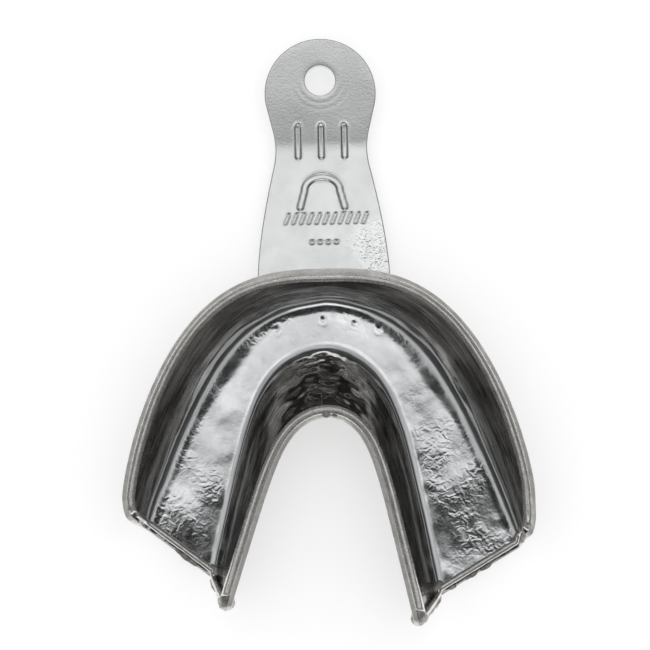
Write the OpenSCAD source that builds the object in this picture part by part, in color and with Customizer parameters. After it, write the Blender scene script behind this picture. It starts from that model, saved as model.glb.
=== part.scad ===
// Rim-lock dental impression tray for a lower jaw, with a flat handle.
// Millimetres. +Y runs along the handle, +Z is the way the trough opens.
// The origin is on the handle's underside, on the midline, below the foremost
// point of the tray's outer rim.

/* [Sheet and handle stock] */
// Thickness of the tray's sheet
sheet_t = 0.9; // [0.7:0.1:1.2]
// Thickness of the handle's plate
plate_t = 1.6; // [1.2:0.1:2.0]

/* [Outer rim] */
// Half of the tray's width, across the outer rim
outer_half_w = 35.4; // [33:0.2:38]
// Distance back from the front of the rim to where the arms run straight
outer_depth = 38.8; // [35:0.2:42]
// How squarely the rim turns from the front into the sides
side_fullness = 2.9; // [2.4:0.1:3.4]
// How squarely the rim turns from the sides into the front
front_fullness = 1.4; // [1.3:0.1:1.8]
// Height of the outer flange above the floor
outer_flange_h = 9.2; // [7:0.2:11]
// Length of the left arm's outer rim behind the front
left_outer_end = 42.8; // [41:0.2:47]
// Length of the right arm's outer rim behind the front
right_outer_end = 47; // [41:0.2:49]

/* [Floor] */
// Distance from the front of the rim back to the floor's outer edge
floor_front = 5.2; // [4:0.2:6.5]
// Distance from the front of the rim back to the floor's tongue-side edge
floor_back = 12.7; // [11:0.2:14]
// Length of the left arm's floor behind the front, at its tongue side
left_floor_end = 52.6; // [50:0.2:56]
// Length of the right arm's floor behind the front, at its tongue side
right_floor_end = 56.4; // [50:0.2:59]
// How fast the left arm's floor edge spreads towards the rear, per unit of length
left_floor_spread = 0.23; // [0.15:0.01:0.3]
// How fast the right arm's floor edge spreads towards the rear, per unit of length
right_floor_spread = 0.18; // [0.15:0.01:0.3]

/* [Tongue rim] */
// Distance from the front of the rim back to the tongue-side rim
tongue_front = 26.1; // [24:0.2:28]
// Height of the tongue-side flange at the front, above the floor
tongue_flange_h = 9.6; // [7:0.2:11]
// Extra height of the tongue-side flange at its rear tips
tongue_tip_rise = 1.6; // [0:0.2:3]
// Length of the left arm's tongue-side rim behind the front
left_tongue_end = 58.6; // [56:0.2:62]
// Length of the right arm's tongue-side rim behind the front
right_tongue_end = 61.8; // [56:0.2:65]
// How fast the left arm's tongue-side rim spreads towards the rear, per unit of length
left_tongue_spread = 0.325; // [0.2:0.005:0.34]
// How fast the right arm's tongue-side rim spreads towards the rear, per unit of length
right_tongue_spread = 0.215; // [0.2:0.005:0.34]

/* [Wires] */
// Width of the retention wires along the flange
wire_w = 1.7; // [1.4:0.1:2.0]
// How far the outer retention wire stands into the trough
outer_wire_h = 1.2; // [1.0:0.1:1.6]
// How far the tongue-side retention wire stands into the trough
tongue_wire_h = 1.3; // [1.0:0.1:1.8]
// Diameter of the edge wires across the rear ends
heel_wire_d = 1.1; // [0.8:0.1:1.3]

/* [Handle] */
// Radius of the handle's round head
head_r = 10.1; // [9:0.1:11]
// Distance from the front of the rim to the centre of the head
head_y = 34.2; // [32:0.2:36]
// Radius of the hole in the head
hole_r = 2.75; // [2.2:0.05:3.2]
// Distance from the centre of the head to the hole, away from the tray
hole_offset = 2.4; // [0:0.1:4]
// Width of the handle at its waist, before the waist is rounded
waist_w = 15.8; // [14:0.2:18]
// Distance from the front of the rim to the waist
waist_y = 24; // [22:0.2:25]
// Upward bend of the head at the waist, in degrees
head_bend = 5; // [0:1:10]
// Width of the handle where it passes under the rim
foot_w = 23.8; // [20:0.2:26]
// Length of the foot behind the front of the rim
foot_len = 12.5; // [11:0.1:13.5]

/* [Hidden] */

$fn = 64;
STEEL = [0.74, 0.75, 0.76];
SATIN = [0.80, 0.80, 0.79];
WIRE = [0.66, 0.67, 0.68];
SOLDER = [0.58, 0.58, 0.56];

floor_z = plate_t + sheet_t / 2;      // middle of the sheet's thickness in the floor
outer_z = plate_t + sheet_t + outer_flange_h;
tongue_z = plate_t + sheet_t + tongue_flange_h;

arch_steps = 26;                      // stations along each arm, apart from those at its end
end_steps = [0.975, 0.988, 0.996, 1]; // the last stations, close together to round the corner
floor_outer_half_w = 17.1;            // half width of the round front of the floor's outer edge
floor_outer_shoulder = 8.8;           // how far back that front turns into the arms
floor_outer_spread = 0.37;            // how fast the floor's outer edge spreads, per unit of length
floor_inner_half_w = 11.3;            // half width of the round front of the floor's inner edge
left_shoulder = 5.2;                  // how far back that front turns into the left arm
right_shoulder = 6.8;                 // the same for the right arm
tongue_half_w = 6.7;                  // half width of the round front of the tongue-side rim
tongue_shoulder = 3.8;                // how far back that front turns into the arms
corner_start = 0.955;                 // where along an arm its rear corner starts to round
corner_drop = 1.8;                    // how far the rounded corners sink at the rear end
outer_fillet = 2.4;                   // reach of the bend between floor and outer flange
tongue_fillet = 1.9;                  // reach of the bend between floor and tongue flange
bend_stretch = 1.3;                   // how much further up the flange than over the floor a bend reaches
heel_lean = 1.4;                      // how far the rear end runs back below the outer rim
heel_inset = 0.4;                     // lip of sheet left behind the edge wires
foot_corner = 2.5;                    // radius of the foot's corners
waist_reach = 3.6;                    // distance on each side of the waist that its rounding reaches
waist_fill = 0.42;                    // how far the rounding fills out the waist on each side
solder_gap = 0.02;                    // film between a soldered wire and the sheet

function pick(w, left, right) = w < 0 ? left : right;
function unit(v) = v / norm(v);
function mix(a, b, t) = a + (b - a) * t;
function plan(v) = [v.x, v.y, 0];
function bezier(a, b, c, t) = mix(mix(a, b, t), mix(b, c, t), t);

// Half width of an arch at a distance s behind its front.
// The outer rim is a superellipse that runs straight behind its widest point.
function superellipse(s) =
    let (u = max(0, 1 - s / outer_depth))
    (outer_half_w - sheet_t / 2) * pow(1 - pow(u, front_fullness), 1 / side_fullness);
// The inner lines are horseshoes: a round front that opens into spreading arms.
function horseshoe(s, half_w, roundness, spread) =
    half_w * sqrt(1 - exp(-s / roundness)) + spread * s;

// Signed station number, from -1 at the left heel through 0 at the front to 1 at the right.
half_stations = concat([for (i = [1:arch_steps]) i / arch_steps * 0.965], end_steps);
n_half = len(half_stations);
STATIONS = concat([for (i = [n_half - 1:-1:0]) -half_stations[i]], [0], half_stations);

// Each line's points crowd towards the front, where the arch turns fastest.
function run(w, front, end, crowding) = (end - front) * pow(abs(w), crowding);
function corner(w) =
    let (u = max(0, (abs(w) - corner_start) / (1 - corner_start)))
    corner_drop * (1 - sqrt(1 - min(1, u) ^ 2));

function outer_top(w) =
    let (front = sheet_t / 2, s = run(w, front, pick(w, left_outer_end, right_outer_end), 2.2))
    [sign(w) * (superellipse(s) - corner(w) * 0.6), -front - s, outer_z - corner(w)];
function floor_outer(w) =
    let (s = run(w, floor_front, pick(w, left_outer_end, right_outer_end) + heel_lean, 2.1))
    [sign(w) * horseshoe(s, floor_outer_half_w, floor_outer_shoulder, floor_outer_spread),
     -floor_front - s, floor_z];
function floor_inner(w) =
    let (s = run(w, floor_back, pick(w, left_floor_end, right_floor_end), 2.4))
    [sign(w) * horseshoe(s, floor_inner_half_w, pick(w, left_shoulder, right_shoulder),
                         pick(w, left_floor_spread, right_floor_spread)), -floor_back - s, floor_z];
function tongue_top(w) =
    let (s = run(w, tongue_front, pick(w, left_tongue_end, right_tongue_end), 2.5))
    [sign(w) * horseshoe(s, tongue_half_w, tongue_shoulder,
                         pick(w, left_tongue_spread, right_tongue_spread)),
     -tongue_front - s, tongue_z + tongue_tip_rise * w ^ 2 - corner(w)];

// The middle line of the sheet across the trough at one station: down the outer flange,
// round the bend, over the floor, round the second bend and up the tongue-side flange.
function section_line(w) =
    let (o = outer_top(w), fo = floor_outer(w), fi = floor_inner(w), t = tongue_top(w),
         co = fo + unit(plan(o - fo)) * outer_fillet,
         ci = fi + unit(plan(t - fi)) * tongue_fillet,
         bo = co + unit(o - co) * outer_fillet * bend_stretch,
         bi = ci + unit(t - ci) * tongue_fillet * bend_stretch)
    concat([for (k = [0:2]) mix(o, bo, k / 3)],
           [for (k = [0:4]) bezier(bo, co, fo, k / 4)],
           [for (k = [1:3]) mix(fo, fi, k / 4)],
           [for (k = [0:4]) bezier(fi, ci, bi, k / 4)],
           [for (k = [1:3]) mix(bi, t, k / 3)]);

SHEET = [for (w = STATIONS) section_line(w)];
n_along = len(STATIONS);
n_across = len(SHEET[0]);

// The sheet's normal at station i and line point j, pointing into the trough.
function sheet_normal(i, j) =
    let (along = SHEET[min(i + 1, n_along - 1)][j] - SHEET[max(i - 1, 0)][j],
         across = SHEET[i][min(j + 1, n_across - 1)] - SHEET[i][max(j - 1, 0)])
    unit(cross(across, along));

// Closed skin over a grid of rings: each ring is one cross-section of the body, with an even
// number of points. Each end is closed by a strip that joins the ring's two halves.
module skin(rings) {
    n = len(rings);
    m = len(rings[0]);
    last = (n - 1) * m;
    points = [for (ring = rings) each ring];
    walls = [for (i = [0:n - 2]) for (j = [0:m - 1])
        let (a = i * m + j, b = i * m + (j + 1) % m)
        each [[a, b, b + m], [a, b + m, a + m]]];
    ends = [for (j = [0:m / 2 - 2])
        let (k = m - 1 - j)
        each [[j + 1, j, k], [j + 1, k, k - 1],
              [last + j, last + j + 1, last + k], [last + j + 1, last + k - 1, last + k]]];
    polyhedron(points, concat(walls, ends));
}

module tray_shell() {
    rings = [for (i = [0:n_along - 1])
        concat([for (j = [0:n_across - 1]) SHEET[i][j] + sheet_normal(i, j) * sheet_t / 2],
               [for (j = [n_across - 1:-1:0]) SHEET[i][j] - sheet_normal(i, j) * sheet_t / 2])];
    color(STEEL) skin(rings);
}

// Half-round wire soldered inside a rim: its flat side is on the sheet, its round side faces
// the trough, and its top is ground flush with the sheet's edge.
// edge is the line point at the rim's top, and next the line point below it.
function half_round(i, edge, next, wire_h) =
    let (n = sheet_normal(i, edge), down = unit(SHEET[i][next] - SHEET[i][edge]),
         base = SHEET[i][edge] + n * (sheet_t / 2 + solder_gap) + down * wire_w / 2)
    [for (a = [-90:20:90])
        let (fullness = a < 0 ? 0.6 : 0.9)
        base + down * sign(a) * pow(abs(sin(a)), fullness) * wire_w / 2
             + n * pow(cos(a), fullness) * wire_h];

module rim_wire(edge, next, wire_h) {
    first = 2;
    color(WIRE) skin([for (i = [first:n_along - 1 - first]) half_round(i, edge, next, wire_h)]);
}

module buccal_rim_wire() {
    rim_wire(0, 1, outer_wire_h);
}

module lingual_rim_wire() {
    rim_wire(n_across - 1, n_across - 2, tongue_wire_h);
}

// Round wire along a rear end of the sheet, on the trough side, set in from the cut edge.
// step leads from the end station i to the next one along the arm. The inset follows the sheet's
// own lines, because the rear ends are cut at a slant and the sheet bends beside a square inset.
function heel_ring(i, j, step) =
    let (r = heel_wire_d / 2,
         across = unit(SHEET[i][min(j + 1, n_across - 1)] - SHEET[i][max(j - 1, 0)]),
         along = unit(SHEET[i + 3 * step][j] - SHEET[i][j]),
         inward = unit(along - across * (along * across)),
         on_sheet = SHEET[i][j] + along * (heel_inset + r) / (along * inward),
         n = sheet_normal(i + 2 * step, j),
         side = unit(inward - n * (inward * n)),
         c = on_sheet + n * (sheet_t / 2 + solder_gap + r))
    [for (a = [0:45:315]) c + (n * cos(a) + side * step * sin(a)) * r];

module heel_wire(i, step) {
    color(WIRE) skin([for (j = [1:n_across - 2]) heel_ring(i, j, step)]);
}

module heel_wire_left() {
    heel_wire(0, 1);
}

module heel_wire_right() {
    heel_wire(n_along - 1, -1);
}

// Moves a point of the handle's right side outwards near the waist, to round the waist's corner.
function rounded_waist(p) =
    [p.x + waist_fill * max(0, 1 - abs(p.y - waist_y) / waist_reach) ^ 2, p.y];

// Outline of the handle seen from above: rounded foot corners, a flare on a long curve up to
// the waist, then straight shoulders that run tangent to the round head.
module handle_plan() {
    rounding = [for (a = [90:-15:0])
        [foot_w / 2 - foot_corner * (1 - cos(a)), -foot_len + foot_corner * (1 - sin(a))]];
    waist = [waist_w / 2, waist_y];
    flare = [for (t = [0:0.0625:1])
        rounded_waist(bezier([foot_w / 2, 0], [foot_w / 2 - 0.2, 0.37 * waist_y], waist, t))];
    rise = head_y - waist_y;
    turn = acos(min(1, head_r / norm([waist_w / 2, rise]))) - atan(rise / (waist_w / 2));
    head = [for (k = [0:32])
        let (a = turn + (180 - 2 * turn) * k / 32)
        [head_r * cos(a), head_y + head_r * sin(a)]];
    shoulder = [for (t = [0.125:0.125:0.875]) rounded_waist(mix(waist, head[0], t))];
    right = concat(rounding, flare, shoulder);
    polygon(concat(right, head, [for (i = [len(right) - 1:-1:0]) [-right[i].x, right[i].y]]));
}

// Side view of the plate, drawn in y and z: flat to the waist, then turned up.
module handle_side() {
    y_end = head_y + head_r + 1;
    rise = (y_end - waist_y) * tan(head_bend);
    polygon([[-foot_len - 1, 0], [waist_y, 0], [y_end, rise],
             [y_end - plate_t * sin(head_bend), rise + plate_t * cos(head_bend)],
             [waist_y - plate_t * tan(head_bend / 2), plate_t], [-foot_len - 1, plate_t]]);
}

module handle() {
    color(SATIN) difference() {
        intersection() {
            linear_extrude(20, center = true) handle_plan();
            rotate([90, 0, 90]) linear_extrude(2 * foot_w, center = true) handle_side();
        }
        translate([0, waist_y, 0]) rotate([head_bend, 0, 0])
            translate([0, head_y + hole_offset - waist_y, -2]) cylinder(h = plate_t + 4, r = hole_r);
    }
}

// Solder: a cap over each rear tip of the tongue-side rim, a lump at each end of the outer wire
// and at each floor corner of the rear ends, and one where the tongue-side wire's joint was closed.
module rim_solder_joints() {
    cap_r = 1.4;
    cap_sink = 1.1;
    lump_r = 0.75;
    last = n_along - 1;
    floor_point = 7;          // line point where the outer bend meets the floor
    corners = [for (i = [1, last - 1]) for (j = [0, floor_point, n_across - 1 - floor_point])
        SHEET[i][j] + sheet_normal(i, j) * (sheet_t / 2 + lump_r * 0.5)];
    joint_station = floor(n_along / 2) - 1;
    joint = SHEET[joint_station][n_across - 1]
        + sheet_normal(joint_station, n_across - 1) * tongue_wire_h * 0.6;
    color(SOLDER) {
        for (i = [1, last - 1])
            translate(SHEET[i][n_across - 1] + sheet_normal(i, n_across - 1) * cap_r / 2 - [0, 0, cap_sink])
                sphere(cap_r, $fn = 32);
        for (p = concat(corners, [joint])) translate(p) sphere(lump_r, $fn = 24);
    }
}

// Weld nuggets between the handle's foot and the floor above it.
module handle_spot_welds() {
    nugget_r = 1.3;
    nugget_h = 0.5;
    color(SOLDER) for (p = [[-8.6, -9.2], [-0.4, -7.6], [5.2, -8.4], [9.6, -9.4]])
        translate([p.x, p.y, plate_t - nugget_h / 2]) cylinder(h = nugget_h, r = nugget_r, $fn = 32);
}

tray_shell();
handle();
buccal_rim_wire();
lingual_rim_wire();
heel_wire_left();
heel_wire_right();
rim_solder_joints();
handle_spot_welds();
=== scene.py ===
import math

import bmesh
import bpy
import numpy as np
from mathutils import Matrix, Vector, noise


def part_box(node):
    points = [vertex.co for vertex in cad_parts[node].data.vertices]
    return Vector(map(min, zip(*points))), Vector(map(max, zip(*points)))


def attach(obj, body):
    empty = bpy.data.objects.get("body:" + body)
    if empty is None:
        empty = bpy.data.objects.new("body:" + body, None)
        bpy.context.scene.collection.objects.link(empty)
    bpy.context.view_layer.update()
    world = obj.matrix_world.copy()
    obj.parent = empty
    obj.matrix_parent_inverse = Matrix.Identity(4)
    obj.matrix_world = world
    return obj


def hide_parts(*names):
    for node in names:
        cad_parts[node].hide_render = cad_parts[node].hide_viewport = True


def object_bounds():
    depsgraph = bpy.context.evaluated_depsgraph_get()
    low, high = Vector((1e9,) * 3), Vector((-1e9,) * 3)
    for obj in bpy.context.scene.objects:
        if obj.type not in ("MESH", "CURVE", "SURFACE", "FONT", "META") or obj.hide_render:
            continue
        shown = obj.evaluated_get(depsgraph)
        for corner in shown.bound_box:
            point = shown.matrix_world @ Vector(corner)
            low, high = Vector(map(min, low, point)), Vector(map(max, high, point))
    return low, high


# A rim-lock dental impression tray. Shapes are worked out in millimetres, in the CAD frame:
# +Y along the handle, +Z the way the trough opens, y 0 at the front of the outer rim.

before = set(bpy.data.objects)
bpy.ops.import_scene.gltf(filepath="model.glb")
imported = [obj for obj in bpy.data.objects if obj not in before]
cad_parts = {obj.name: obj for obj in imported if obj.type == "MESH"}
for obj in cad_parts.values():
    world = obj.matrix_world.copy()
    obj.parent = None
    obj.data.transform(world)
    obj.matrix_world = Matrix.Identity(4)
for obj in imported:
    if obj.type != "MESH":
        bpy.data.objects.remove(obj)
cad_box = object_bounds()
MM = 0.001


def cad_mm(node):
    """Lowest and highest corner of a CAD node, in millimetres."""
    low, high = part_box(node)
    return np.array(low) / MM, np.array(high) / MM


SHELL_LOW = cad_mm("tray_shell")[0]
HANDLE_LOW, HANDLE_HIGH = cad_mm("handle")

# Sheet and plate
SHEET_T = 0.9
PLATE_T = SHELL_LOW[2]
EDGE_ROUND = 0.22               # radius of the sheet's cut edge on its outer face and at the heels
WIRE_SIDE_ROUND = 0.06          # and on the face that carries the wire

# Arch lines. Ends, spreads and shoulders in pairs are for the left arm and the right arm.
# A horseshoe line has a round front of a half width, a shoulder that says how far back the
# front turns into the arms, and a spread of the arms per millimetre. Crowding draws the
# stations together towards the front, where the lines turn fastest.
OUTER_HALF_W = 35.4
OUTER_DEPTH = 38.8
SIDE_FULLNESS = 2.9
FRONT_FULLNESS = 1.4
OUTER_END = (42.8, 47.0)
FLOOR_FRONT = 5.2
FLOOR_BACK = 12.7
FLOOR_END = (52.6, 56.4)
FLOOR_SPREAD = (0.23, 0.18)
FLOOR_OUTER_SHAPE = (17.1, 8.8, 0.37)
FLOOR_INNER_HALF_W = 11.3
FLOOR_SHOULDER = (5.2, 6.8)
TONGUE_FRONT = 26.1
TONGUE_END = (58.6, 61.8)
TONGUE_HALF_W = 6.7
TONGUE_SHOULDER = 3.8
TONGUE_SPREAD = (0.325, 0.215)
OUTER_CROWDING, FLOOR_OUTER_CROWDING = 2.2, 2.1
FLOOR_INNER_CROWDING, TONGUE_CROWDING = 2.4, 2.5
HEEL_LEAN = 1.4
OUTER_FLANGE_H = 9.2
TONGUE_FLANGE_H = 9.6
TONGUE_TIP_RISE = 1.6
CORNER_START = 0.955
CORNER_DROP = 1.8
CORNER_PULL = 0.6               # how far a rounded corner moves inwards for each millimetre it drops
OUTER_FILLET = 2.4
TONGUE_FILLET = 1.9
BEND_STRETCH = 1.3              # how much further up the flange than over the floor a bend reaches
DISH_SLOPE = math.tan(math.radians(9))      # how steeply the floor has turned up where a bend begins
INNER_DISH_W = 1.3
OUTER_DISH_W = 1.3
FRONT_CORNER_DISH_W = 1.7       # added to the outer dish at the middle of each front corner

FLOOR_Z = PLATE_T + SHEET_T / 2
OUTER_Z = PLATE_T + SHEET_T + OUTER_FLANGE_H
TONGUE_Z = PLATE_T + SHEET_T + TONGUE_FLANGE_H

# Handle
FOOT_END = HANDLE_LOW[1]
FOOT_W = HANDLE_HIGH[0] - HANDLE_LOW[0]
FOOT_CORNER = 2.5
FLARE_START = 0.37              # share of the way to the waist at which the flare's sides turn in
FLARE_TUCK = 0.2                # how much narrower than the foot they are there
WAIST_Y = 24.0
WAIST_W = 15.8
WAIST_ROUND = 3.6
WAIST_FILL = 0.42
HEAD_R = 10.1
HEAD_Y = 34.2
HOLE_R = 2.75
HOLE_OFFSET = 2.4
HOLE_Y = HEAD_Y + HOLE_OFFSET
HEAD_BEND = math.radians(5)
BEND_LENGTH = 3.0

# Wires
WIRE_W = 1.7
OUTER_WIRE_H = 1.2
TONGUE_WIRE_H = 1.3
WIRE_SEAT = 0.02                # how deep a rim wire sits in the sheet
HALF_ROUND_POINTS = 24
HEEL_WIRE_D = 1.1
HEEL_INSET = 0.4
HEEL_LINE = 6                   # stations over which the sheet's own direction is taken at a heel
HEEL_WIRE_STATION = 3           # the station that a heel wire lies over
HEEL_TRIMS = (6, 3)             # points left free at its outer and its tongue-side end
ROUND_WIRE_STEP = 22.5          # degrees between the points round it
CUT_STATIONS = 7                # how many stations the slanting cut at a wire's end takes up


# ---------------------------------------------------------------- small maths helpers

def mix(a, b, t):
    """Blend from a to b. a and b are (n, 3) and t is (k,): the result is (n, k, 3)."""
    return a[:, None, :] + (b - a)[:, None, :] * t[None, :, None]


def bezier(a, b, c, t):
    """Points at t on the quadratic curves from a to c that lean towards b."""
    t = t[None, :, None]
    return (1 - t) ** 2 * a[:, None] + 2 * t * (1 - t) * b[:, None] + t ** 2 * c[:, None]


def unit(v):
    """Vectors scaled to a length of 1."""
    return v / np.maximum(np.linalg.norm(v, axis=-1, keepdims=True), 1e-12)


def smooth(low, high, x):
    """Smooth step from 0 at low to 1 at high."""
    t = np.clip((x - low) / (high - low), 0, 1)
    return t * t * (3 - 2 * t)


def ripple(points, size, seed):
    """Smooth noise of about -1 to 1 at each point, with lumps about `size` millimetres across."""
    shift = Vector((seed * 17.3, seed * 5.1, seed * 9.7))
    flat = points.reshape(-1, 3) / size
    values = np.array([noise.noise(Vector(p) + shift) for p in flat])
    return values.reshape(points.shape[:-1])


def segment_distance(points, line):
    """Distance in plan from each point to a polyline."""
    p = points.reshape(-1, 2)
    best = np.full(len(p), 1e9)
    for a, b in zip(line[:-1], line[1:]):
        ab = b - a
        t = np.clip(((p - a) @ ab) / (ab @ ab), 0, 1)
        best = np.minimum(best, np.linalg.norm(p - a - t[:, None] * ab, axis=1))
    return best.reshape(points.shape[:-1])


def build_mesh(name, points, faces, merge=0.0):
    """A smooth-shaded mesh object from points in millimetres."""
    mesh = bpy.data.meshes.new(name)
    mesh.from_pydata((np.asarray(points) * MM).tolist(), [], [tuple(f) for f in faces])
    mesh.validate()
    mesh.update()
    obj = bpy.data.objects.new(name, mesh)
    bpy.context.scene.collection.objects.link(obj)
    if merge:
        bm = bmesh.new()
        bm.from_mesh(mesh)
        bmesh.ops.remove_doubles(bm, verts=bm.verts, dist=merge)
        bmesh.ops.recalc_face_normals(bm, faces=bm.faces)
        bm.to_mesh(mesh)
        bm.free()
    mesh.polygons.foreach_set("use_smooth", [True] * len(mesh.polygons))
    return obj


def tube_faces(rings, around):
    """Quads over a closed-ring grid, with each end closed by a strip across the ring."""
    faces = []
    for i in range(rings - 1):
        for j in range(around):
            a = i * around + j
            b = i * around + (j + 1) % around
            faces.append((a, b, b + around, a + around))
    last = (rings - 1) * around
    for j in range(around // 2 - 1):
        k = around - 1 - j
        faces.append((j + 1, j, k, k - 1))
        faces.append((last + j, last + j + 1, last + k - 1, last + k))
    return faces


# ---------------------------------------------------------------- the arch

def pick(w, pair):
    """The left arm's value at stations left of the front, and the right arm's at the others."""
    return np.where(w < 0, pair[0], pair[1])


def run(w, front, end, crowding):
    """Distance of each station behind a line's front. w runs from -1 at the left heel to 1."""
    return (end - front) * np.abs(w) ** crowding


def superellipse(s):
    """Half width of the outer rim at a distance s behind its front."""
    u = np.clip(1 - s / OUTER_DEPTH, 0, 1)
    return (OUTER_HALF_W - SHEET_T / 2) * (1 - u ** FRONT_FULLNESS) ** (1 / SIDE_FULLNESS)


def horseshoe(s, half_w, shoulder, spread):
    """Half width, at a distance s behind its front, of a line with a round front and open arms."""
    return half_w * np.sqrt(1 - np.exp(-s / shoulder)) + spread * s


def corner(w):
    """How far the rims drop at each station to round the rear corners."""
    u = np.clip((np.abs(w) - CORNER_START) / (1 - CORNER_START), 0, 1)
    return CORNER_DROP * (1 - np.sqrt(1 - u ** 2))


def outer_top(w):
    """Middle of the sheet along the outer rim."""
    front = SHEET_T / 2
    s = run(w, front, pick(w, OUTER_END), OUTER_CROWDING)
    x = np.sign(w) * (superellipse(s) - corner(w) * CORNER_PULL)
    return np.stack([x, -front - s, OUTER_Z - corner(w)], -1)


def floor_outer(w):
    """Where the floor runs into the outer bend."""
    s = run(w, FLOOR_FRONT, pick(w, OUTER_END) + HEEL_LEAN, FLOOR_OUTER_CROWDING)
    x = np.sign(w) * horseshoe(s, *FLOOR_OUTER_SHAPE)
    return np.stack([x, -FLOOR_FRONT - s, np.full_like(w, FLOOR_Z)], -1)


def floor_inner(w):
    """Where the floor runs into the tongue-side bend."""
    s = run(w, FLOOR_BACK, pick(w, FLOOR_END), FLOOR_INNER_CROWDING)
    x = np.sign(w) * horseshoe(s, FLOOR_INNER_HALF_W, pick(w, FLOOR_SHOULDER), pick(w, FLOOR_SPREAD))
    return np.stack([x, -FLOOR_BACK - s, np.full_like(w, FLOOR_Z)], -1)


def tongue_top(w):
    """Middle of the sheet along the tongue-side rim."""
    s = run(w, TONGUE_FRONT, pick(w, TONGUE_END), TONGUE_CROWDING)
    x = np.sign(w) * horseshoe(s, TONGUE_HALF_W, TONGUE_SHOULDER, pick(w, TONGUE_SPREAD))
    z = TONGUE_Z + TONGUE_TIP_RISE * w ** 2 - corner(w)
    return np.stack([x, -TONGUE_FRONT - s, z], -1)


# Points across the trough in each stretch: flange, bend, floor, bend, tongue flange
FLANGE_N, BEND_N, FLOOR_N, TONGUE_N = 20, 22, 46, 30
ARM_STATIONS = 230


def outer_dish_width(w):
    """How far in from the outer bend the floor starts to turn up: most at the front corners."""
    corner_middle, corner_reach = 0.5, 0.16
    near_corner = np.exp(-((np.abs(w) - corner_middle) / corner_reach) ** 2)
    return OUTER_DISH_W + FRONT_CORNER_DISH_W * near_corner


def open_steps(count):
    """Even shares from 0 up to, but not including, 1."""
    return np.linspace(0, 1, count, endpoint=False)


def section_lines(w):
    """Middle line of the sheet across the trough at every station: (stations, across, 3)."""
    o, fo, fi, t = outer_top(w), floor_outer(w), floor_inner(w), tongue_top(w)
    level = np.array([1.0, 1.0, 0.0])
    up = np.array([0.0, 0.0, 1.0])
    outer_w = outer_dish_width(w)[:, None]
    width = np.linalg.norm(fi - fo, axis=1)[:, None]
    across = open_steps(FLOOR_N)[None, :] * width
    dish = (np.maximum(outer_w - across, 0) ** 2 / outer_w
            + np.maximum(INNER_DISH_W - (width - across), 0) ** 2 / INNER_DISH_W) * DISH_SLOPE / 2
    floor = mix(fo, fi, open_steps(FLOOR_N)) + dish[..., None] * up
    fo = fo + up * outer_w * DISH_SLOPE / 2
    fi = fi + up * INNER_DISH_W * DISH_SLOPE / 2
    co = fo + (unit((o - fo) * level) + up * DISH_SLOPE) * OUTER_FILLET
    ci = fi + (unit((t - fi) * level) + up * DISH_SLOPE) * TONGUE_FILLET
    bo = co + unit(o - co) * OUTER_FILLET * BEND_STRETCH
    bi = ci + unit(t - ci) * TONGUE_FILLET * BEND_STRETCH
    return np.concatenate([
        mix(o, bo, open_steps(FLANGE_N)),
        bezier(bo, co, fo, open_steps(BEND_N)),
        floor,
        bezier(fi, ci, bi, open_steps(BEND_N)),
        mix(bi, t, np.linspace(0, 1, TONGUE_N)),
    ], axis=1)


half = np.linspace(0, 1, ARM_STATIONS + 1)[1:]
STATIONS = np.concatenate([-half[::-1], [0.0], half])
SHEET = section_lines(STATIONS)
N_ALONG, N_ACROSS = SHEET.shape[:2]


def sheet_normals(grid):
    """Normals of the middle surface, pointing into the trough."""
    across = np.gradient(grid, axis=1)
    along = np.gradient(grid, axis=0)
    return unit(np.cross(across, along))


NORMAL = sheet_normals(SHEET)


# ---------------------------------------------------------------- tray shell

BLEND = 4                       # points over which a share fades in or out
QUARTER = 5                     # points in each rounded quarter of the sheet's cut edge
EDGE_POINTS = 2 * QUARTER
RIM_SKIP = 2                    # line points next to each rim that its rounded edge replaces
TOP_COUNT = N_ACROSS - 2 * RIM_SKIP
HEEL_TURNS = np.radians([30, 60, 80])       # how far round the rear edge each extra ring lies


def floor_share():
    """1 on the flat floor and 0 on the flanges, at each point across the trough."""
    j = np.arange(N_ACROSS)
    start = FLANGE_N + BEND_N * 0.6
    end = FLANGE_N + BEND_N + FLOOR_N + BEND_N * 0.4
    return smooth(start - BLEND, start + BLEND, j) * (1 - smooth(end - BLEND, end + BLEND, j))


def tongue_share():
    """1 on the tongue-side flange, at each point across the trough."""
    j = np.arange(N_ACROSS)
    start = FLANGE_N + BEND_N + FLOOR_N
    return smooth(start, start + BEND_N, j)


WELD_SPOTS = ((-8.6, -9.2), (-0.4, -7.6), (5.2, -8.4), (9.6, -9.4))


def weld_dimples(points):
    """Shallow pits with a raised lip where the handle's foot is welded below the floor."""
    lip_h, lip_r, lip_w = 0.008, 0.95, 0.3
    pit_depth, pit_r = 0.045, 0.4
    height = np.zeros(points.shape[:2])
    for x, y in WELD_SPOTS:
        r = np.hypot(points[..., 0] - x, points[..., 1] - y)
        height += lip_h * np.exp(-((r - lip_r) / lip_w) ** 2) - pit_depth * np.exp(-(r / pit_r) ** 2)
    return height


def hammer_marks(points):
    """The puckered metal where the tongue-side flange was drawn in at the front."""
    half_w, fold_h, small_h = 6.5, 0.5, 0.10
    centre = np.exp(-(points[..., 0] / half_w) ** 2) * smooth(-30, -25, points[..., 1])
    folds = ripple(points, 3.0, 4)
    small = ripple(points, 1.2, 5)
    return centre * (fold_h * folds + small_h * small) * tongue_share()[None, :]


def drawing_lines():
    """Long low ridges along the flanges, left by the press tool."""
    i, j = np.meshgrid(np.arange(N_ALONG), np.arange(N_ACROSS), indexing="ij")
    ridges = ripple(np.stack([i / 26.0, j / 4.5, 0 * i], -1), 1, 30)
    fine = ripple(np.stack([i / 16.0, j / 2.0, 0 * i], -1), 1, 31)
    return (0.05 * ridges + 0.015 * fine) * (1 - floor_share())[None, :]


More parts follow.
